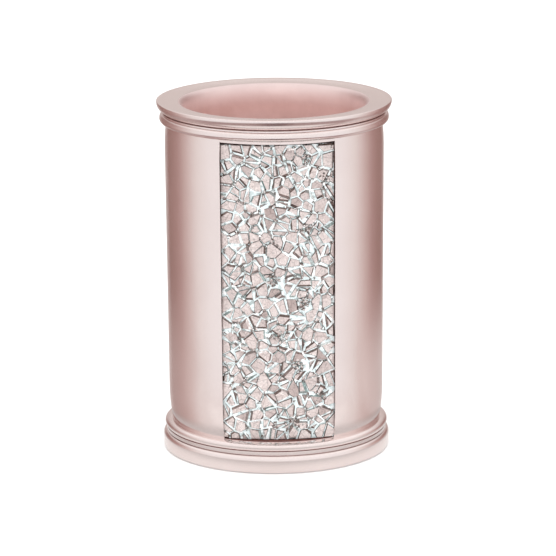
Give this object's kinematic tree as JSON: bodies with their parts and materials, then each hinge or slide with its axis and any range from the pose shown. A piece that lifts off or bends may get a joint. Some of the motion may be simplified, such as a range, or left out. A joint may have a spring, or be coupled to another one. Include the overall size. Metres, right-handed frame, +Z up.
{
  "type": "bathroom tumbler",
  "caption": "Cast resin bathroom tumbler with a moulded lip and foot, beads above and below, and a recessed crushed-glass mosaic panel on its front.",
  "frame": {"origin": "middle of the foot, at the height of the surface that the tumbler stands on", "axes": "+Z up along the cup's axis, the mosaic panel faces -Y, +X to the right seen from the front"},
  "size_m": [0.076, 0.076, 0.1152],
  "materials": {
    "rose_resin": "satin metallic rose paint over cast polyresin, plain coral paint inside",
    "mirror_chips": "crushed clear glass with a mirrored back, on clear adhesive film",
    "foam_pad": "fine closed-cell foam, matt"
  },
  "bodies": {
    "root": {"tumbler_body": "rose_resin", "base_pad": "foam_pad", "mosaic_patch_01_1": "mirror_chips", "mosaic_patch_01_2": "mirror_chips", "mosaic_patch_01_3": "mirror_chips", "mosaic_patch_01_4": "mirror_chips", "mosaic_patch_01_5": "mirror_chips", "mosaic_patch_02_1": "mirror_chips", "mosaic_patch_02_2": "mirror_chips", "mosaic_patch_02_3": "mirror_chips", "mosaic_patch_02_4": "mirror_chips", "mosaic_patch_02_5": "mirror_chips", "mosaic_patch_03_1": "mirror_chips", "mosaic_patch_03_2": "mirror_chips", "mosaic_patch_03_3": "mirror_chips", "mosaic_patch_03_4": "mirror_chips", "mosaic_patch_03_5": "mirror_chips", "mosaic_patch_04_1": "mirror_chips", "mosaic_patch_04_2": "mirror_chips", "mosaic_patch_04_3": "mirror_chips", "mosaic_patch_04_4": "mirror_chips", "mosaic_patch_04_5": "mirror_chips", "mosaic_patch_05_1": "mirror_chips", "mosaic_patch_05_2": "mirror_chips", "mosaic_patch_05_3": "mirror_chips", "mosaic_patch_05_4": "mirror_chips", "mosaic_patch_05_5": "mirror_chips", "mosaic_patch_06_1": "mirror_chips", "mosaic_patch_06_2": "mirror_chips", "mosaic_patch_06_3": "mirror_chips", "mosaic_patch_06_4": "mirror_chips", "mosaic_patch_06_5": "mirror_chips", "mosaic_patch_07_1": "mirror_chips", "mosaic_patch_07_2": "mirror_chips", "mosaic_patch_07_3": "mirror_chips", "mosaic_patch_07_4": "mirror_chips", "mosaic_patch_07_5": "mirror_chips", "mosaic_patch_08_1": "mirror_chips", "mosaic_patch_08_2": "mirror_chips", "mosaic_patch_08_3": "mirror_chips", "mosaic_patch_08_4": "mirror_chips", "mosaic_patch_08_5": "mirror_chips", "mosaic_patch_09_1": "mirror_chips", "mosaic_patch_09_2": "mirror_chips", "mosaic_patch_09_3": "mirror_chips", "mosaic_patch_09_4": "mirror_chips", "mosaic_patch_09_5": "mirror_chips"}
  },
  "joints": []
}
